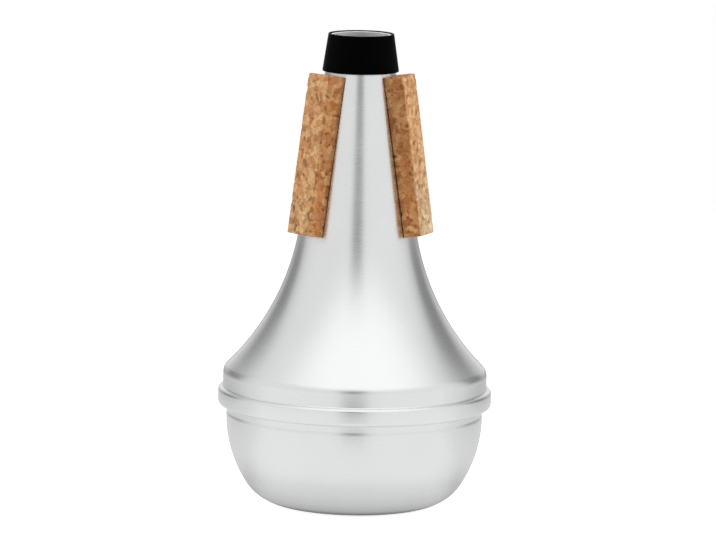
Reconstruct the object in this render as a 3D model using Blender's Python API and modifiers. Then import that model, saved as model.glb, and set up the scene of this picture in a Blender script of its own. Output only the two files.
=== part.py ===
"""Straight mute for a trumpet, in metres, standing on its base with +Z up its axis."""

import math

import bmesh
import bpy

# Whole mute
OVERALL_HEIGHT = 0.1395
SHEET = 0.0008
FIT_GAP = 0.0003

# Cone shell: a straight cone that flares into a skirt with an upright band
THROAT_RADIUS = 0.00878
CONE_SLOPE = math.radians(8.4)
FLARE_SLOPE = math.radians(45.0)
BAND_RADIUS = 0.03895
BAND_HEIGHT = 0.0055
LIP_BEND = 0.0027

# Rolled bead at the foot of the band, which traps the cup's flange and the sealing ring
BEAD_FOOT_HEIGHT = 0.0293
LEDGE_HOLLOW = 0.0004
LEDGE_BEND = 0.0002
HEM_BEND = 0.0004

# Sealing ring inside the bead
RING_WIDTH = 0.0016
RING_HEIGHT = 0.0020
RING_ROUND = 0.0004

# Base cup: a flange, a neck under the bead, a shoulder wider than the neck, and the side
FLANGE_WIDTH = 0.00155
NECK_HEIGHT = 0.0020
SHOULDER_STEP = 0.00015
SHOULDER_HEIGHT = 0.0008
SHOULDER_ROUND = 0.003
CUP_SLOPE = math.radians(33.0)
BASE_INSET = 0.0100
BASE_ROUND = 0.014

# Throat collar: a sleeve round the cone's small end, which it stands above by the recess
COLLAR_HEIGHT = 0.01105
COLLAR_WALL = 0.0006
COLLAR_RIM_ROUND = 0.0002
RIM_RECESS = 0.0003

# Cork strips
CORK_LENGTH = 0.0472
CORK_WIDTH = 0.0103
CORK_THICKNESS = 0.00455
CORK_MARGIN = 0.0009
CORK_EDGE_ROUND = 0.0004
CORK_AZIMUTHS = {
    "cork_strip_left": math.radians(210.0),
    "cork_strip_right": math.radians(330.0),
    "cork_strip_back": math.radians(90.0),
}

# Finishes: linear colour, metallic, roughness
FINISHES = {
    "spun_aluminium": ((0.72, 0.73, 0.73), 1.0, 0.32),
    "cork": ((0.55, 0.29, 0.12), 0.0, 0.85),
    "black_rubber": ((0.012, 0.012, 0.013), 0.0, 0.5),
    "seam_rubber": ((0.06, 0.06, 0.06), 0.0, 0.7),
}

# Facets
SEGMENTS = 60
FLARE_FACETS = 7
LIP_FACETS = 4
SIDE_FACETS = 5
BASE_FACETS = 6
BEND_FACETS = 2
CORK_EDGE_FACETS = 2
WELD_DISTANCE = 0.00001
SHARP_ANGLE = math.radians(50.0)

# Heights, from the base up
bead_height = 3.0 * (SHEET + FIT_GAP) + RING_HEIGHT
bead_top_z = BEAD_FOOT_HEIGHT + bead_height
band_top_z = bead_top_z + BAND_HEIGHT
flange_z = BEAD_FOOT_HEIGHT + SHEET + FIT_GAP
collar_foot_z = OVERALL_HEIGHT - COLLAR_HEIGHT
throat_z = OVERALL_HEIGHT - RIM_RECESS

# Radii, from the band down to the cup
bead_radius = BAND_RADIUS + LEDGE_HOLLOW + LEDGE_BEND + SHEET
bead_inner_radius = bead_radius - SHEET - FIT_GAP
neck_radius = bead_inner_radius - FLANGE_WIDTH
cup_radius = neck_radius + SHOULDER_STEP

# What sits on the cone keeps the fit gap to it, here measured level
seat_gap = FIT_GAP / math.cos(CONE_SLOPE)

# Way down the cone's side from the throat's rim to the middle of a cork
cork_down_cone = (throat_z - collar_foot_z) / math.cos(CONE_SLOPE) + CORK_MARGIN + CORK_LENGTH / 2.0


def cone_radius(z):
    """Outer radius of the straight cone, carried on past its ends."""
    return THROAT_RADIUS + (throat_z - z) * math.tan(CONE_SLOPE)


def corner_arc(before, corner, after, radius, facets):
    """Points of the arc that rounds one corner of an outline."""
    if radius <= 0.0:
        return [corner]
    heading_in = math.atan2(corner[1] - before[1], corner[0] - before[0])
    heading_out = math.atan2(after[1] - corner[1], after[0] - corner[0])
    turn = math.remainder(heading_out - heading_in, math.tau)
    signed_radius = math.copysign(radius, turn)
    reach = radius * math.tan(abs(turn) / 2.0)
    start_r = corner[0] - reach * math.cos(heading_in)
    start_z = corner[1] - reach * math.sin(heading_in)
    centre_r = start_r - signed_radius * math.sin(heading_in)
    centre_z = start_z + signed_radius * math.cos(heading_in)
    points = []
    for step in range(facets + 1):
        heading = heading_in + turn * step / facets
        r = centre_r + signed_radius * math.sin(heading)
        z = centre_z - signed_radius * math.cos(heading)
        points.append((r, z))
    return points


def rounded_outline(corners, closed=False):
    """Outline of (radius, height) points from corners of (radius, height, rounding, facets)."""
    points = []
    for index, (r, z, rounding, facets) in enumerate(corners):
        is_end = not closed and index in (0, len(corners) - 1)
        before = corners[index - 1][:2]
        after = corners[(index + 1) % len(corners)][:2]
        stretch = [(r, z)] if is_end else corner_arc(before, (r, z), after, rounding, facets)
        if points and math.dist(points[-1], stretch[0]) < WELD_DISTANCE:
            stretch = stretch[1:]
        points.extend(stretch)
    return points


def flare_corners():
    """Throat rim, the corner that the flare rounds, and the lip where the flare meets the band."""
    cone_rate = math.tan(CONE_SLOPE)
    flare_rate = math.tan(FLARE_SLOPE)
    height = throat_z - band_top_z
    corner_drop = (THROAT_RADIUS - BAND_RADIUS + height * flare_rate) / (flare_rate - cone_rate)
    corner_z = throat_z - corner_drop
    cone_line = corner_drop / math.cos(CONE_SLOPE)
    flare_line = (height - corner_drop) / math.cos(FLARE_SLOPE)
    lip_round = SHEET + LIP_BEND
    lip_reach = lip_round * math.tan(FLARE_SLOPE / 2.0)
    flare_reach = min(flare_line - lip_reach, cone_line)
    flare_round = flare_reach / math.tan((FLARE_SLOPE - CONE_SLOPE) / 2.0)
    return [
        (THROAT_RADIUS, throat_z, 0.0, 0),
        (cone_radius(corner_z), corner_z, flare_round, FLARE_FACETS),
        (BAND_RADIUS, band_top_z, lip_round, LIP_FACETS),
    ]


def cone_outline():
    """Outer side of the cone's sheet, from the throat down to the hem under the bead."""
    return rounded_outline(flare_corners() + [
        (BAND_RADIUS, bead_top_z, LEDGE_HOLLOW, BEND_FACETS),
        (bead_radius, bead_top_z, SHEET + LEDGE_BEND, BEND_FACETS),
        (bead_radius, BEAD_FOOT_HEIGHT, SHEET + HEM_BEND, BEND_FACETS),
        (neck_radius + FIT_GAP, BEAD_FOOT_HEIGHT, 0.0, 0),
    ])


def cup_outline():
    """Outer side of the cup's sheet, from the flange's edge to the centre of the base."""
    neck_foot_z = BEAD_FOOT_HEIGHT - NECK_HEIGHT
    wall_top_z = neck_foot_z - SHOULDER_HEIGHT
    side_corner_z = BASE_INSET / math.tan(CUP_SLOPE)
    side_line = BASE_INSET / math.sin(CUP_SLOPE)
    half_base_turn = (math.pi / 2.0 - CUP_SLOPE) / 2.0
    shoulder_reach = SHOULDER_ROUND * math.tan(math.atan2(SHOULDER_STEP, SHOULDER_HEIGHT) / 2.0)
    base_reach = min(BASE_ROUND * math.tan(half_base_turn), side_line / 2.0)
    side_reach = min(side_line - base_reach, wall_top_z - side_corner_z - shoulder_reach)
    side_round = side_reach / math.tan(CUP_SLOPE / 2.0)
    base_round = base_reach / math.tan(half_base_turn)
    return rounded_outline([
        (bead_inner_radius, flange_z, 0.0, 0),
        (neck_radius, flange_z, FIT_GAP, BEND_FACETS),
        (neck_radius, neck_foot_z, 0.0, 0),
        (cup_radius, wall_top_z, SHOULDER_ROUND, BEND_FACETS),
        (cup_radius, side_corner_z, side_round, SIDE_FACETS),
        (cup_radius - BASE_INSET, 0.0, base_round, BASE_FACETS),
        (0.0, 0.0, 0.0, 0),
    ])


def ring_outline():
    """Section of the sealing ring, which fills the bead between the cup's flange and the ledge."""
    low_z = flange_z + SHEET + FIT_GAP
    high_z = low_z + RING_HEIGHT
    outer = bead_inner_radius
    inner = outer - RING_WIDTH
    corners = ((outer, high_z), (outer, low_z), (inner, low_z), (inner, high_z))
    return rounded_outline([(r, z, RING_ROUND, BEND_FACETS) for r, z in corners], closed=True)


def collar_outline():
    """Section of the collar, a sleeve of even wall that follows the cone."""
    inner_foot = cone_radius(collar_foot_z) + seat_gap
    inner_top = cone_radius(OVERALL_HEIGHT) + seat_gap
    rim_round = min(COLLAR_RIM_ROUND, COLLAR_WALL / 3.0)
    return rounded_outline([
        (inner_top + COLLAR_WALL, OVERALL_HEIGHT, rim_round, BEND_FACETS),
        (inner_foot + COLLAR_WALL, collar_foot_z, rim_round, BEND_FACETS),
        (inner_foot, collar_foot_z, 0.0, 0),
        (inner_top, OVERALL_HEIGHT, rim_round, BEND_FACETS),
    ], closed=True)


def cork_seat_outline():
    """Outside of the cone with the fit gap added, closed on the axis: what the corks are cut to."""
    seat = [(r + seat_gap, z) for r, z in rounded_outline(flare_corners())]
    return [(0.0, seat[0][1])] + seat + [(0.0, seat[-1][1])]


def make_material(name):
    colour, metallic, roughness = FINISHES[name]
    material = bpy.data.materials.new(name)
    material.use_nodes = True
    shader = material.node_tree.nodes["Principled BSDF"]
    shader.inputs["Base Color"].default_value = (*colour, 1.0)
    shader.inputs["Metallic"].default_value = metallic
    shader.inputs["Roughness"].default_value = roughness
    material.diffuse_color = (*colour, 1.0)
    return material


def add_object(name, mesh, collection, material=None):
    piece = bpy.data.objects.new(name, mesh)
    collection.objects.link(piece)
    if material:
        mesh.materials.append(material)
    return piece


def add_turned(name, outline, collection, material=None, closed=False):
    """Outline at +X with a Screw modifier that turns it once round the axis."""
    count = len(outline)
    edges = [(index, index + 1) for index in range(count - 1)]
    if closed:
        edges.append((count - 1, 0))
    mesh = bpy.data.meshes.new(name)
    mesh.from_pydata([(r, 0.0, z) for r, z in outline], edges, [])
    piece = add_object(name, mesh, collection, material)
    turn = piece.modifiers.new("turn", "SCREW")
    turn.axis = "Z"
    turn.angle = math.tau
    turn.steps = SEGMENTS
    turn.render_steps = SEGMENTS
    turn.use_merge_vertices = True
    turn.merge_threshold = WELD_DISTANCE
    return piece


def add_sheet_wall(piece):
    """Solidify modifier that thickens a turned outline inwards to the sheet's gauge."""
    wall = piece.modifiers.new("wall", "SOLIDIFY")
    wall.thickness = SHEET
    wall.offset = -1.0
    wall.use_even_offset = True


def freeze_mesh(piece):
    """Replaces the object's mesh by what its modifiers make, shaded smooth with sharp corners."""
    depsgraph = bpy.context.evaluated_depsgraph_get()
    mesh = bpy.data.meshes.new_from_object(piece.evaluated_get(depsgraph))
    mesh.shade_smooth()
    mesh.set_sharp_from_angle(angle=SHARP_ANGLE)
    mesh.name = piece.name
    piece.modifiers.clear()
    piece.data = mesh


def make_shells(collection):
    material = make_material("spun_aluminium")
    for name, outline in (("cone_shell", cone_outline()), ("base_cup", cup_outline())):
        shell = add_turned(name, outline, collection, material)
        add_sheet_wall(shell)
        freeze_mesh(shell)


def make_sealing_ring(collection):
    material = make_material("seam_rubber")
    freeze_mesh(add_turned("seam_sealing_ring", ring_outline(), collection, material, closed=True))


def make_collar(collection):
    material = make_material("black_rubber")
    freeze_mesh(add_turned("throat_collar", collar_outline(), collection, material, closed=True))


def place_on_cone(piece, azimuth):
    """Sets a strip on the cone at an azimuth, with its local X square to the cone and its local Z up it."""
    radius = THROAT_RADIUS + cork_down_cone * math.sin(CONE_SLOPE)
    height = throat_z - cork_down_cone * math.cos(CONE_SLOPE)
    piece.location = (radius * math.cos(azimuth), radius * math.sin(azimuth), height)
    piece.rotation_euler = (0.0, -CONE_SLOPE, azimuth)


def make_corks(collection, cutters):
    """One strip is cut to the cone at azimuth 0, and the three corks share its mesh."""
    material = make_material("cork")
    outer = FIT_GAP + CORK_THICKNESS
    depth = outer + CORK_WIDTH / 2.0
    blank_mesh = bpy.data.meshes.new("cork_strip")
    builder = bmesh.new()
    bmesh.ops.create_cube(builder, size=1.0)
    bmesh.ops.scale(builder, vec=(depth, CORK_WIDTH, CORK_LENGTH), verts=builder.verts)
    bmesh.ops.translate(builder, vec=(outer - depth / 2.0, 0.0, 0.0), verts=builder.verts)
    builder.to_mesh(blank_mesh)
    builder.free()
    strip = add_object("cork_blank", blank_mesh, cutters, material)
    place_on_cone(strip, 0.0)

    edges = strip.modifiers.new("edges", "BEVEL")
    edges.width = CORK_EDGE_ROUND
    edges.segments = CORK_EDGE_FACETS
    seat = add_turned("cork_seat", cork_seat_outline(), cutters)
    seat.hide_render = True
    seat.display_type = "WIRE"
    cut = strip.modifiers.new("seat", "BOOLEAN")
    cut.operation = "DIFFERENCE"
    cut.object = seat
    freeze_mesh(strip)

    for name, azimuth in CORK_AZIMUTHS.items():
        cork = bpy.data.objects.new(name, strip.data)
        collection.objects.link(cork)
        place_on_cone(cork, azimuth)
    bpy.data.objects.remove(strip)


def main():
    for old in list(bpy.data.objects):
        bpy.data.objects.remove(old)
    scene_root = bpy.context.scene.collection
    parts = bpy.data.collections.new("trumpet_straight_mute")
    cutters = bpy.data.collections.new("cutters")
    scene_root.children.link(parts)
    scene_root.children.link(cutters)

    mute_axis = bpy.data.objects.new("mute_axis", None)
    make_shells(parts)
    make_sealing_ring(parts)
    make_collar(parts)
    make_corks(parts, cutters)
    for piece in parts.objects:
        piece.parent = mute_axis
    parts.objects.link(mute_axis)


main()
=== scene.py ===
"""Looks of the trumpet straight mute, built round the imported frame."""

import math

import bmesh
import bpy
from mathutils import Matrix, Vector, noise


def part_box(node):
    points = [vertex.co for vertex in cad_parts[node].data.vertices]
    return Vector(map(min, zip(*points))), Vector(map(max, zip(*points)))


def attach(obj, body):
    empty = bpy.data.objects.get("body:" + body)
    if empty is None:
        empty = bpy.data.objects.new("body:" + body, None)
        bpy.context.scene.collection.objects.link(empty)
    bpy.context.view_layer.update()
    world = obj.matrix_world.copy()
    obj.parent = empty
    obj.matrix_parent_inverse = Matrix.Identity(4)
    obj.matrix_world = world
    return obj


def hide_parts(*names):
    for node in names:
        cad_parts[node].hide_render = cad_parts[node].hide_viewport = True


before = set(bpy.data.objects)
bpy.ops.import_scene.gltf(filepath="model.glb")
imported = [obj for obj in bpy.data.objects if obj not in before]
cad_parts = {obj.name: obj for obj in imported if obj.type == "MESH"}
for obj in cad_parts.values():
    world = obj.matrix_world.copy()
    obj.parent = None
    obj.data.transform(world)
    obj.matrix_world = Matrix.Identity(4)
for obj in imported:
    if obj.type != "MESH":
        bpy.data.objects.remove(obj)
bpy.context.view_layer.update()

# Sheet and gaps, in metres
SHEET = 0.0008
FIT_GAP = 0.0003
SHELL_SEGMENTS = 192

# Cone shell
CONE_SLOPE = math.radians(8.4)
FLARE_SLOPE = math.radians(45.0)
THROAT_RADIUS = 0.00878
BAND_RADIUS = 0.03895
BAND_HEIGHT = 0.0055
LIP_BEND = 0.0027
LEDGE_HOLLOW = 0.0004
LEDGE_BEND = 0.0002
HEM_BEND = 0.0004
RING_HEIGHT = 0.0020

# Base cup
FLANGE_WIDTH = 0.00155
NECK_HEIGHT = 0.0020
SHOULDER_STEP = 0.00015
SHOULDER_HEIGHT = 0.0008
SHOULDER_ROUND = 0.003
CUP_SLOPE = math.radians(33.0)
BASE_INSET = 0.0100
BASE_ROUND = 0.014

# Throat collar
COLLAR_WALL = 0.0006
COLLAR_RIM_ROUND = 0.0002

# Cork strips
CORK_LENGTH = 0.0472
CORK_WIDTH = 0.0103
CORK_THICKNESS = 0.00455
CORK_MARGIN = 0.0009
CORK_EDGE_ROUND = 0.0004
CORK_STEPS = (14, 36, 170)
CORK_AZIMUTHS = {
    "cork_strip_left": math.radians(210.0),
    "cork_strip_right": math.radians(330.0),
    "cork_strip_back": math.radians(90.0),
}
GRANULE_SIZE = 0.0012
CREASE_DEPTH = 0.00006
PIT_DEPTH = 0.00022

# Cork's tints: cut sides near the throat and lower down, where painted light makes them lighter, sanded outer
# face, and painted light bounced up from the flare that pales the outer face lower down, most on the cork to
# the right
CORK_CUT_TINT = (0.95, 0.83, 0.76)
CORK_CUT_LOW_PAINTED_LIGHT_TINT = (1.13, 0.98, 0.89)
CORK_SANDED_TINT = (0.95, 0.96, 0.99)
CORK_PAINTED_BOUNCE_TINT = (0.98, 1.27, 1.71)
CORK_PAINTED_LIGHT_HEIGHTS = (0.110, 0.085)
CORK_PAINTED_LIGHT_REACH = 0.01
CORK_PAINTED_LIGHT_LEFT = 0.15

# Painted shadow on the cork next to the metal: how much it darkens at its seat, and the heights over the cone
# between which it fades
CORK_SEAT_PAINTED_SHADOW = 0.72
CORK_SEAT_REACH = (0.0004, 0.0019)

# Spun metal
METAL_TONE = (0.842, 0.852, 0.850)
METAL_ROUGHNESS = (0.22, 0.31)
METAL_ANISOTROPY = 0.6

# Facets of each rounded corner
FLARE_FACETS = 40
LIP_FACETS = 12
SIDE_FACETS = 28
BASE_FACETS = 16
BEND_FACETS = 6

# Camera: where it stands and what it frames
VIEW_AZIMUTH = math.radians(-7.4)
CAMERA_DISTANCE = 1.6
CAMERA_RISE = math.radians(5.82)
CAMERA_ROLL = math.radians(1.09)
AIM_HEIGHT = 0.070
PIXELS_PER_METRE = 3394.0
IMAGE_WIDTH = 716
SENSOR_WIDTH = 36.0
AXIS_PIXEL_X = 356.92
AIM_PIXEL_Y = 268.15
IMAGE_CENTRE = (358.0, 270.0)

# Floor
FLOOR_REACH = 6.0
FLOOR_NEAR = 0.22
FLOOR_FAR = 0.7
FLOOR_LIFT = 0.80

# Floor as the metal mirrors it, a glow with painted shade: its level, and its painted shade near the axis,
# beside and behind the mute and towards the camera
FLOOR_IN_MIRROR = 0.94
FLOOR_SHADE_REACH = 0.05
FLOOR_SHADE_STOPS = ((0.40, 0.05), (0.48, 0.22), (0.54, 0.58), (0.62, 0.72), (0.74, 0.84), (0.95, 1.0))
FLOOR_SIDE_STOPS = ((0.35, 1.0), (0.56, 0.85), (0.80, 0.80))
FLOOR_SIDE_NEAR = 0.17
FLOOR_SIDE_REACH = (0.040, 0.065)
FLOOR_SIDE_TURN = (-0.6, -0.05)
FLOOR_HORIZON = (0.15, 0.40)
FLOOR_BACK_SHADE = 0.45
FLOOR_BACK_TURN = (0.2, 0.8)
CAMERA_STRIPE = 0.972
CAMERA_STRIPE_SHADE = 0.22
CAMERA_STRIPE_REACH = (0.09, 0.20)

# Tent round the mute: how bright it looks in metal, by the share of a half turn away from the camera
TENT_STOPS = ((0.0, 0.25), (0.025, 0.32), (0.09, 0.86), (0.42, 0.88), (0.53, 0.84), (0.61, 0.70), (0.69, 0.27),
              (0.785, 0.25), (0.85, 0.57), (0.93, 0.85))
TENT_WALL = 0.88
TENT_LEAN = 0.02
FLANK_TURN = 0.01
FLAGS_LOW = math.radians(16.0)
FLAGS_HIGH = math.radians(60.0)
FLAGS_RISE = 0.10
OVERHEAD_LEVEL = 1.19
OVERHEAD_AXIS = (0.08, 0.36)
OVERHEAD_LOW = 0.62
OVERHEAD_HIGH = 1.03
SOFT_LEVEL = 0.26

# Lamps: degrees to the right of the camera, degrees up, width, height and power
LAMP_DISTANCE = 1.4
LAMPS = {
    "left_softbox": (-94.0, 15.0, 0.7, 1.4, 11.8),
    "right_softbox": (95.0, 15.0, 0.7, 1.4, 13.6),
    "top_softbox": (0.0, 86.0, 1.2, 1.2, 8.0),
    "front_fill": (4.0, 4.0, 0.5, 0.5, 1.6),
}

cone_low, cone_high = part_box("cone_shell")
collar_low, collar_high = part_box("throat_collar")
overall_height = collar_high[2]
throat_z = cone_high[2]
bead_foot_z = cone_low[2]
bead_radius = cone_high[0]
collar_foot_z = collar_low[2]
bead_top_z = bead_foot_z + 3.0 * (SHEET + FIT_GAP) + RING_HEIGHT
band_top_z = bead_top_z + BAND_HEIGHT
flange_z = bead_foot_z + SHEET + FIT_GAP
bead_inner_radius = bead_radius - SHEET - FIT_GAP
neck_radius = bead_inner_radius - FLANGE_WIDTH
cup_radius = neck_radius + SHOULDER_STEP
seat_gap = FIT_GAP / math.cos(CONE_SLOPE)
cork_down_cone = (throat_z - collar_foot_z) / math.cos(CONE_SLOPE) + CORK_MARGIN + CORK_LENGTH / 2.0


def cone_radius(z):
    """Outer radius of the straight cone, carried on past its ends."""
    return THROAT_RADIUS + (throat_z - z) * math.tan(CONE_SLOPE)


def corner_arc(before, corner, after, radius, facets):
    """Points of the arc that rounds one corner of an outline."""
    if radius <= 0.0:
        return [corner]
    heading_in = math.atan2(corner[1] - before[1], corner[0] - before[0])
    heading_out = math.atan2(after[1] - corner[1], after[0] - corner[0])
    turn = math.remainder(heading_out - heading_in, math.tau)
    signed_radius = math.copysign(radius, turn)
    reach = radius * math.tan(abs(turn) / 2.0)
    start_r = corner[0] - reach * math.cos(heading_in)
    start_z = corner[1] - reach * math.sin(heading_in)
    centre_r = start_r - signed_radius * math.sin(heading_in)
    centre_z = start_z + signed_radius * math.cos(heading_in)
    points = []
    for step in range(facets + 1):
        heading = heading_in + turn * step / facets
        r = centre_r + signed_radius * math.sin(heading)
        z = centre_z - signed_radius * math.cos(heading)
        points.append((r, z))
    return points


def rounded_outline(corners, closed=False):
    """Outline of (radius, height) points from corners of (radius, height, rounding, facets)."""
    points = []
    for index, (r, z, rounding, facets) in enumerate(corners):
        is_end = not closed and index in (0, len(corners) - 1)
        before = corners[index - 1][:2]
        after = corners[(index + 1) % len(corners)][:2]
        stretch = [(r, z)] if is_end else corner_arc(before, (r, z), after, rounding, facets)
        if points and math.dist(points[-1], stretch[0]) < 0.00001:
            stretch = stretch[1:]
        points.extend(stretch)
    return points


def flare_corners():
    """Throat rim, the corner that the flare rounds, and the lip where the flare meets the band."""
    cone_rate = math.tan(CONE_SLOPE)
    flare_rate = math.tan(FLARE_SLOPE)
    height = throat_z - band_top_z
    corner_drop = (THROAT_RADIUS - BAND_RADIUS + height * flare_rate) / (flare_rate - cone_rate)
    corner_z = throat_z - corner_drop
    cone_line = corner_drop / math.cos(CONE_SLOPE)
    flare_line = (height - corner_drop) / math.cos(FLARE_SLOPE)
    lip_round = SHEET + LIP_BEND
    lip_reach = lip_round * math.tan(FLARE_SLOPE / 2.0)
    flare_reach = min(flare_line - lip_reach, cone_line)
    flare_round = flare_reach / math.tan((FLARE_SLOPE - CONE_SLOPE) / 2.0)
    return [
        (THROAT_RADIUS, throat_z, 0.0, 0),
        (cone_radius(corner_z), corner_z, flare_round, FLARE_FACETS),
        (BAND_RADIUS, band_top_z, lip_round, LIP_FACETS),
    ]


def cone_outline():
    return rounded_outline(flare_corners() + [
        (BAND_RADIUS, bead_top_z, LEDGE_HOLLOW, BEND_FACETS),
        (bead_radius, bead_top_z, SHEET + LEDGE_BEND, BEND_FACETS),
        (bead_radius, bead_foot_z, SHEET + HEM_BEND, BEND_FACETS),
        (neck_radius + FIT_GAP, bead_foot_z, 0.0, 0),
    ])


def cup_outline():
    """Outer side of the cup's sheet, from the flange's edge to the centre of the base."""
    neck_foot_z = bead_foot_z - NECK_HEIGHT
    wall_top_z = neck_foot_z - SHOULDER_HEIGHT
    side_corner_z = BASE_INSET / math.tan(CUP_SLOPE)
    side_line = BASE_INSET / math.sin(CUP_SLOPE)
    half_base_turn = (math.pi / 2.0 - CUP_SLOPE) / 2.0
    shoulder_reach = SHOULDER_ROUND * math.tan(math.atan2(SHOULDER_STEP, SHOULDER_HEIGHT) / 2.0)
    base_reach = min(BASE_ROUND * math.tan(half_base_turn), side_line / 2.0)
    side_reach = min(side_line - base_reach, wall_top_z - side_corner_z - shoulder_reach)
    side_round = side_reach / math.tan(CUP_SLOPE / 2.0)
    base_round = base_reach / math.tan(half_base_turn)
    return rounded_outline([
        (bead_inner_radius, flange_z, 0.0, 0),
        (neck_radius, flange_z, FIT_GAP, BEND_FACETS),
        (neck_radius, neck_foot_z, FIT_GAP, BEND_FACETS),
        (cup_radius, wall_top_z, SHOULDER_ROUND, BEND_FACETS),
        (cup_radius, side_corner_z, side_round, SIDE_FACETS),
        (cup_radius - BASE_INSET, 0.0, base_round, BASE_FACETS),
        (0.0, 0.0, 0.0, 0),
    ])


def collar_outline():
    """Section of the collar, a sleeve of even wall that follows the cone."""
    inner_foot = cone_radius(collar_foot_z) + seat_gap
    inner_top = cone_radius(overall_height) + seat_gap
    return rounded_outline([
        (inner_top + COLLAR_WALL, overall_height, COLLAR_RIM_ROUND, BEND_FACETS),
        (inner_foot + COLLAR_WALL, collar_foot_z, COLLAR_RIM_ROUND, BEND_FACETS),
        (inner_foot, collar_foot_z, 0.0, 0),
        (inner_top, overall_height, COLLAR_RIM_ROUND, BEND_FACETS),
    ], closed=True)


def wall_profile(outline, wall):
    """Inner side of a sheet whose outer side is the outline, run from its end back to its start."""
    inner = []
    last = len(outline) - 1
    for index, (r, z) in enumerate(outline):
        before = outline[max(index - 1, 0)]
        after = outline[min(index + 1, last)]
        heading_in = Vector((r - before[0], z - before[1]))
        heading_out = Vector((after[0] - r, after[1] - z))
        if index == 0:
            heading_in = heading_out
        if index == last:
            heading_out = heading_in
        heading = heading_in.normalized() + heading_out.normalized()
        half_turn = heading_in.angle(heading_out) / 2.0
        reach = wall / math.cos(half_turn)
        heading.normalize()
        inner.append((r + heading.y * reach, z - heading.x * reach))
    return inner[::-1]


def add_turned(name, outline, material, closed=True):
    """Outline turned once round the axis. An outline that isn't closed starts and ends on the axis."""
    count = len(outline)
    edges = [(index, index + 1) for index in range(count - 1)]
    if closed:
        edges.append((count - 1, 0))
    mesh = bpy.data.meshes.new(name)
    mesh.from_pydata([(r, 0.0, z) for r, z in outline], edges, [])
    mesh.materials.append(material)
    piece = bpy.data.objects.new(name, mesh)
    bpy.context.scene.collection.objects.link(piece)
    turn = piece.modifiers.new("turn", "SCREW")
    turn.axis = "Z"
    turn.angle = math.tau
    turn.steps = SHELL_SEGMENTS
    turn.render_steps = SHELL_SEGMENTS
    turn.use_merge_vertices = True
    turn.merge_threshold = 0.000001
    depsgraph = bpy.context.evaluated_depsgraph_get()
    turned = bpy.data.meshes.new_from_object(piece.evaluated_get(depsgraph))
    turned.shade_smooth()
    turned.set_sharp_from_angle(angle=math.radians(40.0))
    piece.modifiers.clear()
    piece.data = turned
    return piece


class Graph:
    """Small helper that adds shader nodes and links them."""

    def __init__(self, tree):
        self.tree = tree

    def add(self, kind, **values):
        node = self.tree.nodes.new(kind)
        for key, value in values.items():
            if key in node.inputs:
                node.inputs[key].default_value = value
            else:
                setattr(node, key, value)
        return node

    def plug(self, value, socket):
        """Puts a number or another node's output into a socket."""
        if isinstance(value, bpy.types.NodeSocket):
            self.tree.links.new(value, socket)
        else:
            socket.default_value = value

    def math(self, operation, first, second=0.0):
        node = self.add("ShaderNodeMath", operation=operation)
        self.plug(first, node.inputs[0])
        self.plug(second, node.inputs[1])
        return node.outputs[0]

    def sum(self, *values):
        total = values[0]
        for value in values[1:]:
            total = self.math("ADD", total, value)
        return total

    def scaled(self, value, factor):
        return self.math("MULTIPLY", value, factor)

    def rest(self, share):
        """What a share leaves of one."""
        return self.math("SUBTRACT", 1.0, share)

    def split(self, vector):
        node = self.add("ShaderNodeSeparateXYZ")
        self.plug(vector, node.inputs[0])
        return node.outputs

    def combine(self, x, y, z):
        node = self.add("ShaderNodeCombineXYZ")
        for socket, value in zip(node.inputs, (x, y, z)):
            self.plug(value, socket)
        return node.outputs[0]

    def noise(self, vector, scale, detail=3.0, roughness=0.5):
        node = self.add("ShaderNodeTexNoise", Scale=scale, Detail=detail, Roughness=roughness)
        self.plug(vector, node.inputs["Vector"])
        return node.outputs["Fac"]

    def ramp(self, value, stops, easing="LINEAR"):
        node = self.add("ShaderNodeValToRGB")
        node.color_ramp.interpolation = easing
        elements = node.color_ramp.elements
        while len(elements) < len(stops):
            elements.new(0.5)
        for element, (position, colour) in zip(elements, stops):
            element.position = position
            element.color = (*colour, 1.0)
        self.plug(value, node.inputs["Fac"])
        return node.outputs["Color"]

    def level_ramp(self, value, stops):
        """Grey levels at shares of one, with soft turns between them."""
        return self.ramp(value, [(share, (level, level, level)) for share, level in stops], "EASE")

    def map_range(self, value, low, high, out_low=0.0, out_high=1.0, easing="LINEAR"):
        node = self.add("ShaderNodeMapRange", interpolation_type=easing)
        for socket, number in zip(list(node.inputs)[1:5], (low, high, out_low, out_high)):
            socket.default_value = number
        self.plug(value, node.inputs[0])
        return node.outputs[0]

    def mix_colour(self, share, first, second):
        node = self.add("ShaderNodeMix", data_type="RGBA")
        self.plug(share, node.inputs[0])
        self.plug(first, node.inputs[6])
        self.plug(second, node.inputs[7])
        return node.outputs[2]

    def mix_shader(self, share, first, second):
        node = self.add("ShaderNodeMixShader")
        for socket, value in zip(node.inputs, (share, first, second)):
            self.plug(value, socket)
        return node.outputs[0]

    def bump(self, height, distance, strength):
        node = self.add("ShaderNodeBump", Strength=strength, Distance=distance)
        self.plug(height, node.inputs["Height"])
        return node.outputs["Normal"]

    def ray_kinds(self):
        """Whether a ray comes from the camera, also through glass, and whether a mirror sent it."""
        path = self.add("ShaderNodeLightPath")
        in_view = self.math("MAXIMUM", path.outputs["Is Camera Ray"], path.outputs["Is Transmission Ray"])
        return in_view, path.outputs["Is Glossy Ray"]


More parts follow.
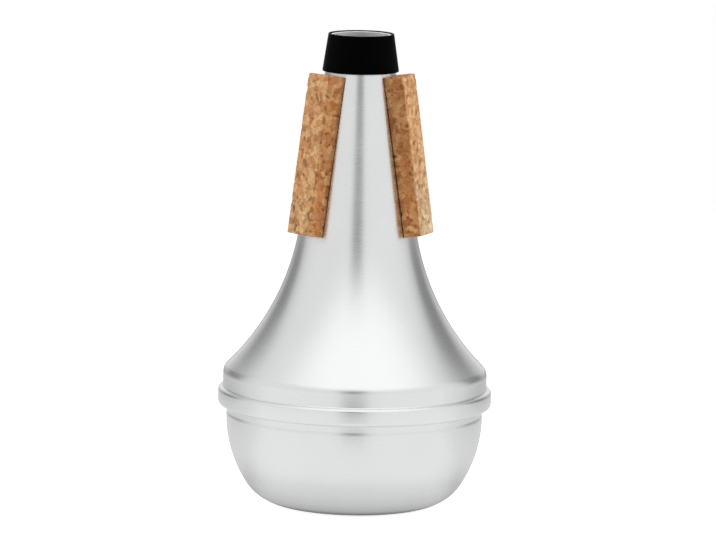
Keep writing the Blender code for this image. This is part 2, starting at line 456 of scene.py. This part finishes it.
class Finish(Graph):
    """A material with the nodes that feed its main shader."""

    def __init__(self, name):
        self.material = bpy.data.materials.new(name)
        self.material.use_nodes = True
        super().__init__(self.material.node_tree)
        self.shader = self.tree.nodes["Principled BSDF"]
        self.position = self.add("ShaderNodeTexCoord").outputs["Object"]

    def set(self, **values):
        for key, value in values.items():
            self.plug(value, self.shader.inputs[key.replace("_", " ")])

    def round_axis(self):
        """Distance from the axis, and how far the surface faces away from it, times that distance."""
        x, y, _ = self.split(self.position)
        normal_x, normal_y, _ = self.split(self.add("ShaderNodeNewGeometry").outputs["Normal"])
        radius = self.math("SQRT", self.sum(self.math("MULTIPLY", x, x), self.math("MULTIPLY", y, y)))
        outward = self.sum(self.math("MULTIPLY", normal_x, x), self.math("MULTIPLY", normal_y, y))
        return radius, outward


def spun_metal(name):
    """Satin aluminium with the fine rings of a spinning tool, duller on the side that faces the axis."""
    finish = Finish(name)
    x, y, z = finish.split(finish.position)
    radius, outward = finish.round_axis()
    drift = finish.scaled(finish.sum(x, finish.scaled(y, 0.6)), 0.04)
    ring_space = finish.combine(radius, z, drift)
    fine_rings = finish.noise(ring_space, 5200.0, 2.0, 0.6)
    broad_rings = finish.noise(ring_space, 900.0, 2.0, 0.5)
    cloud = finish.noise(finish.position, 60.0, 3.0, 0.55)
    rings = finish.sum(fine_rings, finish.scaled(broad_rings, 0.8))
    tone_mix = finish.sum(finish.scaled(fine_rings, 0.35), finish.scaled(cloud, 0.65))
    dark = tuple(channel * 0.95 for channel in METAL_TONE)
    colour = finish.ramp(tone_mix, [(0.3, dark), (0.7, METAL_TONE)])
    roughness = finish.map_range(finish.sum(fine_rings, cloud), 0.6, 1.4, *METAL_ROUGHNESS)
    inside = finish.math("LESS_THAN", outward, 0.0)
    tangent = finish.add("ShaderNodeTangent", direction_type="RADIAL", axis="Z")
    finish.set(
        Base_Color=colour,
        Metallic=finish.map_range(inside, 0.0, 1.0, 1.0, 0.35),
        Roughness=finish.math("MAXIMUM", roughness, finish.scaled(inside, 0.55)),
        Anisotropic=METAL_ANISOTROPY,
        Anisotropic_Rotation=0.25,
        Normal=finish.bump(rings, 0.00002, 0.35),
        Tangent=tangent.outputs[0],
    )
    return finish.material


def black_rubber():
    finish = Finish("black_rubber_moulded")
    grain = finish.noise(finish.position, 2600.0, 4.0, 0.6)
    cloud = finish.noise(finish.position, 180.0, 2.0, 0.5)
    colour = finish.ramp(cloud, [(0.3, (0.0005, 0.0005, 0.0006)), (0.7, (0.0011, 0.0011, 0.0012))])
    finish.set(
        Base_Color=colour,
        Roughness=finish.map_range(cloud, 0.3, 0.7, 0.34, 0.46),
        Specular_IOR_Level=0.015,
        Normal=finish.bump(grain, 0.00003, 0.3),
    )
    return finish.material


def cork_material():
    """Pressed cork: warm granules of unlike tone, thin binder between them, dark bark specks and pits, with
    painted shadow next to the metal and painted light lower down.
    """
    finish = Finish("cork_granules")
    warp = finish.add("ShaderNodeVectorMath", operation="MULTIPLY_ADD")
    shift = finish.add("ShaderNodeTexNoise", Scale=700.0, Detail=2.0)
    finish.plug(finish.position, shift.inputs["Vector"])
    finish.plug(shift.outputs["Color"], warp.inputs[0])
    warp.inputs[1].default_value = (0.0008, 0.0008, 0.0008)
    finish.plug(finish.position, warp.inputs[2])
    place = warp.outputs[0]

    def granules(size):
        cells = finish.add("ShaderNodeTexVoronoi", Scale=1.0 / size, feature="F1")
        finish.plug(place, cells.inputs["Vector"])
        tint = finish.add("ShaderNodeSeparateColor")
        finish.plug(cells.outputs["Color"], tint.inputs[0])
        borders = finish.add("ShaderNodeTexVoronoi", Scale=1.0 / size, feature="DISTANCE_TO_EDGE")
        finish.plug(place, borders.inputs["Vector"])
        return tint.outputs, borders.outputs["Distance"]

    coarse_tint, coarse_border = granules(GRANULE_SIZE * 1.3)
    small_tint, small_border = granules(GRANULE_SIZE * 0.6)
    fine = finish.noise(finish.position, 3200.0, 4.0, 0.65)
    blotch = finish.noise(finish.position, 300.0, 3.0, 0.5)
    tone = finish.sum(
        finish.scaled(coarse_tint[0], 0.40),
        finish.scaled(small_tint[0], 0.18),
        finish.scaled(fine, 0.30),
        finish.scaled(blotch, 0.20),
    )
    body = finish.ramp(tone, [
        (0.28, (0.39, 0.155, 0.046)),
        (0.46, (0.60, 0.280, 0.098)),
        (0.62, (0.72, 0.380, 0.150)),
        (0.80, (0.84, 0.530, 0.265)),
    ])
    reddish = finish.map_range(coarse_tint[1], 0.60, 0.95, 0.0, 0.45)
    body = finish.mix_colour(reddish, body, (0.50, 0.165, 0.045, 1.0))
    pale = finish.map_range(coarse_tint[2], 0.70, 0.95, 0.0, 0.40)
    body = finish.mix_colour(pale, body, (0.86, 0.600, 0.300, 1.0))
    binder = finish.map_range(coarse_border, 0.0, 0.07, 0.30, 0.0)
    body = finish.mix_colour(binder, body, (0.30, 0.125, 0.043, 1.0))
    speck = finish.math("MULTIPLY", finish.map_range(small_tint[1], 0.90, 0.96),
                        finish.map_range(small_border, 0.02, 0.20))
    body = finish.mix_colour(finish.scaled(speck, 0.65), body, (0.23, 0.072, 0.024, 1.0))
    pit = finish.add("ShaderNodeAttribute", attribute_name="pit").outputs["Fac"]
    body = finish.mix_colour(finish.scaled(pit, 0.7), body, (0.20, 0.080, 0.030, 1.0))
    height = finish.sum(finish.scaled(finish.map_range(coarse_border, 0.0, 0.1), 0.4), fine)

    x, _, z = finish.split(finish.position)
    radius, outward = finish.round_axis()
    sanded = finish.map_range(finish.math("DIVIDE", outward, radius), 0.6, 0.9, easing="SMOOTHSTEP")
    # Painted light: the cut sides get lighter lower down, and the outer face paler lower down, most towards the
    # right.
    low = finish.map_range(z, *CORK_PAINTED_LIGHT_HEIGHTS, easing="SMOOTHSTEP")
    rightward = finish.map_range(x, -CORK_PAINTED_LIGHT_REACH, CORK_PAINTED_LIGHT_REACH, CORK_PAINTED_LIGHT_LEFT, 1.0)
    painted_bounce_light = finish.math("MULTIPLY", low, rightward)
    # Painted shadow: the cork darkens towards its seat on the cone.
    cone_slant = finish.scaled(finish.math("SUBTRACT", throat_z, z), math.tan(CONE_SLOPE))
    lift = finish.math("SUBTRACT", radius, finish.sum(cone_slant, THROAT_RADIUS))
    painted_seat_shadow = finish.map_range(lift, *CORK_SEAT_REACH, CORK_SEAT_PAINTED_SHADOW, 1.0, "SMOOTHSTEP")
    cut = finish.ramp(low, [(0.0, CORK_CUT_TINT), (1.0, CORK_CUT_LOW_PAINTED_LIGHT_TINT)])
    face = finish.mix_colour(painted_bounce_light, (*CORK_SANDED_TINT, 1.0), (*CORK_PAINTED_BOUNCE_TINT, 1.0))
    shade = finish.mix_colour(sanded, cut, face)
    tinted = finish.add("ShaderNodeMix", data_type="RGBA", blend_type="MULTIPLY")
    tinted.inputs[0].default_value = 1.0
    finish.plug(body, tinted.inputs[6])
    finish.plug(shade, tinted.inputs[7])
    shaded = finish.add("ShaderNodeVectorMath", operation="SCALE")
    finish.plug(tinted.outputs[2], shaded.inputs[0])
    finish.plug(painted_seat_shadow, shaded.inputs["Scale"])
    finish.set(
        Base_Color=shaded.outputs[0],
        Roughness=finish.map_range(fine, 0.3, 0.7, 0.72, 0.9),
        Specular_IOR_Level=0.25,
        Sheen_Weight=0.15,
        Normal=finish.bump(height, 0.00010, 0.5),
    )
    return finish.material


def seam_rubber():
    finish = Finish("seam_rubber_moulded")
    grain = finish.noise(finish.position, 1800.0, 3.0, 0.6)
    finish.set(
        Base_Color=finish.ramp(grain, [(0.3, (0.03, 0.03, 0.03)), (0.7, (0.05, 0.05, 0.05))]),
        Roughness=0.7,
        Normal=finish.bump(grain, 0.00003, 0.3),
    )
    return finish.material


def block_surface(counts):
    """Vertices, as whole steps along three axes, and quads of a block's surface."""
    places = {}
    faces = []
    for axis in range(3):
        first, second = (axis + 1) % 3, (axis + 2) % 3
        for level in (0, counts[axis]):
            for i in range(counts[first]):
                for j in range(counts[second]):
                    quad = []
                    for step_i, step_j in ((0, 0), (1, 0), (1, 1), (0, 1)):
                        place = [level, level, level]
                        place[first] = i + step_i
                        place[second] = j + step_j
                        quad.append(places.setdefault(tuple(place), len(places)))
                    faces.append(quad if level else quad[::-1])
    return list(places), faces


def rounded_block(point, half):
    """Moves a point of a block's surface onto the same block with its outer edges rounded."""
    if point.x <= -half.x:
        return point
    core = Vector((
        min(point.x, half.x - CORK_EDGE_ROUND),
        max(CORK_EDGE_ROUND - half.y, min(point.y, half.y - CORK_EDGE_ROUND)),
        max(CORK_EDGE_ROUND - half.z, min(point.z, half.z - CORK_EDGE_ROUND)),
    ))
    return core + (point - core).normalized() * CORK_EDGE_ROUND


def cork_wear(point):
    """Share of a crease between granules, and of a pit, at a point of the cork."""
    scaled = point / GRANULE_SIZE
    distances = noise.voronoi(scaled)[0]
    crease = max(0.0, 1.0 - (distances[1] - distances[0]) / 0.25)
    pit = max(0.0, noise.noise(scaled * 0.7 + Vector((7.3, 1.9, 4.4))) - 0.36) / 0.22
    return crease, min(1.0, pit)


def add_cork(name, azimuth, material, seed):
    """Strip cut to the cone's curve, with creased granules and pits in its faces."""
    outer = FIT_GAP + CORK_THICKNESS
    middle_radius = THROAT_RADIUS + cork_down_cone * math.sin(CONE_SLOPE)
    middle_z = throat_z - cork_down_cone * math.cos(CONE_SLOPE)
    half = Vector((CORK_THICKNESS, CORK_WIDTH, CORK_LENGTH)) / 2.0
    places, faces = block_surface(CORK_STEPS)
    vertices = []
    for place in places:
        shares = [2.0 * step / count - 1.0 for step, count in zip(place, CORK_STEPS)]
        point = rounded_block(Vector([share * side for share, side in zip(shares, half)]), half)
        cone_here = middle_radius - point.z * math.sin(CONE_SLOPE)
        seat = math.sqrt(cone_here ** 2 - point.y ** 2) - cone_here + FIT_GAP
        depth = (point.x + half.x) / CORK_THICKNESS
        vertices.append((seat + depth * (outer - seat), point.y, point.z))
    mesh = bpy.data.meshes.new(name)
    mesh.from_pydata(vertices, [], faces)
    mesh.materials.append(material)
    mesh.update()

    shift = Vector((seed, seed * 1.7, seed * 0.6))
    pits = mesh.attributes.new("pit", "FLOAT", "POINT")
    moved = []
    for vertex in mesh.vertices:
        crease, pit = cork_wear(vertex.co + shift)
        pits.data[vertex.index].value = pit
        moved.append(vertex.co - vertex.normal * (CREASE_DEPTH * crease + PIT_DEPTH * pit))
    for vertex, place in zip(mesh.vertices, moved):
        vertex.co = place
    turn = Matrix.Rotation(azimuth, 4, "Z")
    seat_place = Matrix.Translation((middle_radius, 0.0, middle_z)) @ Matrix.Rotation(-CONE_SLOPE, 4, "Y")
    mesh.transform(turn @ seat_place)
    mesh.shade_smooth()
    mesh.set_sharp_from_angle(angle=math.radians(60.0))
    cork = bpy.data.objects.new(name, mesh)
    bpy.context.scene.collection.objects.link(cork)
    return cork


def dress(piece, node):
    """Lets a piece of the scene stand for a node of the frame."""
    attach(piece, "root")
    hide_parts(node)


def add_shells():
    cone_side = cone_outline()
    cup_side = cup_outline()
    cone_metal = spun_metal("spun_cone")
    cup_metal = spun_metal("spun_cup")
    cone = add_turned("cone_body", cone_side + wall_profile(cone_side, SHEET), cone_metal)
    cup = add_turned("cup_body", wall_profile(cup_side, SHEET) + cup_side, cup_metal, closed=False)
    dress(cone, "cone_shell")
    dress(cup, "base_cup")


def add_collar():
    collar = add_turned("collar_sleeve", collar_outline(), black_rubber())
    dress(collar, "throat_collar")


def add_corks():
    material = cork_material()
    for index, (node, azimuth) in enumerate(CORK_AZIMUTHS.items()):
        cork = add_cork(node.replace("strip", "pad"), azimuth, material, 0.1 * (index + 1))
        dress(cork, node)


def dress_sealing_ring():
    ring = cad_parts["seam_sealing_ring"]
    ring.data.materials.clear()
    ring.data.materials.append(seam_rubber())


def add_floor():
    """Pale floor that keeps the mute's shadow and turns into the white background further out."""
    mesh = bpy.data.meshes.new("floor")
    builder = bmesh.new()
    bmesh.ops.create_grid(builder, x_segments=2, y_segments=2, size=FLOOR_REACH)
    builder.to_mesh(mesh)
    builder.free()
    finish = Finish("white_floor")
    length = finish.add("ShaderNodeVectorMath", operation="LENGTH")
    finish.plug(finish.position, length.inputs[0])
    distance = length.outputs["Value"]
    far = finish.map_range(distance, FLOOR_NEAR, FLOOR_FAR)
    grain = finish.noise(finish.position, 400.0, 3.0, 0.5)
    finish.set(
        Base_Color=finish.ramp(grain, [(0.3, (0.86, 0.86, 0.86)), (0.7, (0.88, 0.88, 0.88))]),
        Roughness=0.8,
    )
    lifted = finish.add("ShaderNodeAddShader")
    finish.plug(finish.shader.outputs[0], lifted.inputs[0])
    finish.plug(finish.add("ShaderNodeEmission", Strength=FLOOR_LIFT).outputs[0], lifted.inputs[1])
    white = finish.add("ShaderNodeEmission", Strength=1.0)
    shown = finish.mix_shader(far, lifted.outputs[0], white.outputs[0])
    # What metal mirrors of the floor is a glow with painted shade: darker near the axis, beside and behind the
    # mute, and in a stripe towards the camera.
    mirrored = finish.add("ShaderNodeEmission")
    near_share = finish.math("DIVIDE", distance, FLOOR_SHADE_REACH)
    shade = finish.level_ramp(near_share, FLOOR_SHADE_STOPS)
    x, y, _ = finish.split(finish.position)
    away = finish.sum(finish.scaled(x, -math.sin(VIEW_AZIMUTH)), finish.scaled(y, math.cos(VIEW_AZIMUTH)))
    away_cosine = finish.math("DIVIDE", away, distance)
    side = finish.level_ramp(finish.map_range(away_cosine, -1.0, 1.0), FLOOR_SIDE_STOPS)
    close = finish.map_range(distance, *FLOOR_SIDE_REACH, FLOOR_SIDE_NEAR, 0.0, "SMOOTHSTEP")
    sideways = finish.map_range(away_cosine, *FLOOR_SIDE_TURN, easing="SMOOTHSTEP")
    beside = finish.math("MULTIPLY", close, sideways)
    horizon = finish.map_range(distance, *FLOOR_HORIZON, easing="SMOOTHSTEP")
    backward = finish.map_range(away_cosine, *FLOOR_BACK_TURN, 0.0, FLOOR_BACK_SHADE)
    behind = finish.math("MULTIPLY", horizon, backward)
    stripe_far = finish.map_range(distance, *CAMERA_STRIPE_REACH, easing="SMOOTHSTEP")
    stripe = finish.map_range(away_cosine, -1.0, -CAMERA_STRIPE, CAMERA_STRIPE_SHADE, 0.0, "SMOOTHSTEP")
    stripe = finish.math("MULTIPLY", stripe_far, stripe)
    level = finish.scaled(shade, FLOOR_IN_MIRROR)
    level = finish.math("MULTIPLY", level, side)
    for dimmed in (beside, behind, stripe):
        level = finish.math("MULTIPLY", level, finish.rest(dimmed))
    finish.plug(level, mirrored.inputs["Strength"])
    in_view, in_mirror = finish.ray_kinds()
    lit = finish.mix_shader(in_mirror, finish.shader.outputs[0], mirrored.outputs[0])
    final = finish.mix_shader(in_view, lit, shown)
    finish.plug(final, finish.tree.nodes["Material Output"].inputs["Surface"])
    mesh.materials.append(finish.material)
    floor = bpy.data.objects.new("floor", mesh)
    bpy.context.scene.collection.objects.link(floor)


def studio_place(azimuth, elevation, distance):
    """Point at an azimuth to the right of the camera's direction, an elevation and a distance from the mute."""
    turn = VIEW_AZIMUTH + math.radians(azimuth)
    rise = math.radians(elevation)
    level = distance * math.cos(rise)
    return Vector((level * math.sin(turn), -level * math.cos(turn), AIM_HEIGHT + distance * math.sin(rise)))


def add_softbox(name, azimuth, elevation, width, height, power):
    """Area lamp that lights the mute but shows in no mirror, since the tent stands for it there."""
    data = bpy.data.lights.new(name, "AREA")
    data.shape = "RECTANGLE"
    data.size = width
    data.size_y = height
    data.energy = power
    lamp = bpy.data.objects.new(name, data)
    bpy.context.scene.collection.objects.link(lamp)
    lamp.location = studio_place(azimuth, elevation, LAMP_DISTANCE)
    aim = Vector((0.0, 0.0, AIM_HEIGHT))
    lamp.rotation_euler = (aim - lamp.location).to_track_quat("-Z", "Y").to_euler()
    lamp.visible_glossy = False


def add_lamps():
    for name, (azimuth, elevation, width, height, power) in LAMPS.items():
        add_softbox(name, azimuth, elevation, width, height, power)


def add_world():
    """White tent that metal sees with darker places: a slit round the camera and the flanks behind the mute."""
    world = bpy.data.worlds.new("studio")
    bpy.context.scene.world = world
    world.use_nodes = True
    graph = Graph(world.node_tree)
    x, y, z = graph.split(graph.add("ShaderNodeTexCoord").outputs["Generated"])
    toward = graph.sum(graph.scaled(x, math.sin(VIEW_AZIMUTH)), graph.scaled(y, -math.cos(VIEW_AZIMUTH)))
    rightward = graph.sum(graph.scaled(x, math.cos(VIEW_AZIMUTH)), graph.scaled(y, math.sin(VIEW_AZIMUTH)))
    azimuth = graph.math("ARCTAN2", rightward, toward)
    half_turns = graph.sum(graph.scaled(graph.math("ABSOLUTE", azimuth), 1.0 / math.pi),
                           graph.scaled(rightward, FLANK_TURN))
    walls = graph.level_ramp(half_turns, TENT_STOPS)
    above_flags = graph.map_range(graph.sum(z, graph.scaled(rightward, -FLAGS_RISE)),
                                  math.sin(FLAGS_LOW), math.sin(FLAGS_HIGH), easing="SMOOTHSTEP")
    flagged = graph.math("MULTIPLY", walls, graph.rest(above_flags))
    walls = graph.sum(flagged, graph.scaled(above_flags, TENT_WALL))
    walls = graph.math("MULTIPLY", walls, graph.sum(1.0, graph.scaled(rightward, TENT_LEAN)))
    overhead_right, overhead_toward = OVERHEAD_AXIS
    upward = graph.sum(z, graph.scaled(rightward, overhead_right), graph.scaled(toward, overhead_toward))
    overhead = graph.map_range(upward, OVERHEAD_LOW, OVERHEAD_HIGH, easing="SMOOTHSTEP")
    walls_part = graph.math("MULTIPLY", walls, graph.rest(overhead))
    tent_level = graph.sum(walls_part, graph.scaled(overhead, OVERHEAD_LEVEL))

    tent = graph.add("ShaderNodeBackground")
    graph.plug(tent_level, tent.inputs["Strength"])
    soft = graph.add("ShaderNodeBackground", Strength=SOFT_LEVEL)
    white = graph.add("ShaderNodeBackground", Strength=1.0)
    for background in (tent, soft, white):
        background.inputs["Color"].default_value = (1.0, 1.0, 1.0, 1.0)
    in_view, in_mirror = graph.ray_kinds()
    lighting = graph.mix_shader(in_mirror, soft.outputs[0], tent.outputs[0])
    shown = graph.mix_shader(in_view, lighting, white.outputs[0])
    graph.plug(shown, world.node_tree.nodes["World Output"].inputs["Surface"])


def add_camera():
    """Stands where the photograph was taken from: slightly above the throat, leaning a little."""
    data = bpy.data.cameras.new("camera")
    camera = bpy.data.objects.new("camera", data)
    bpy.context.scene.collection.objects.link(camera)
    height = overall_height + CAMERA_DISTANCE * math.tan(CAMERA_RISE)
    place = Vector((
        CAMERA_DISTANCE * math.sin(VIEW_AZIMUTH),
        -CAMERA_DISTANCE * math.cos(VIEW_AZIMUTH),
        height,
    ))
    aim = Vector((0.0, 0.0, AIM_HEIGHT))
    look = (aim - place).to_track_quat("-Z", "Y").to_matrix().to_4x4()
    camera.matrix_world = Matrix.Translation(place) @ look @ Matrix.Rotation(CAMERA_ROLL, 4, "Z")
    data.sensor_width = SENSOR_WIDTH
    data.lens = SENSOR_WIDTH * PIXELS_PER_METRE * (aim - place).length / IMAGE_WIDTH
    data.shift_x = (IMAGE_CENTRE[0] - AXIS_PIXEL_X) / IMAGE_WIDTH
    data.shift_y = (AIM_PIXEL_Y - IMAGE_CENTRE[1]) / IMAGE_WIDTH
    data.clip_end = 50.0
    bpy.context.scene.camera = camera


add_camera()
add_shells()
add_collar()
add_corks()
dress_sealing_ring()
add_floor()
add_world()
add_lamps()
bpy.context.scene.view_settings.view_transform = "Standard"
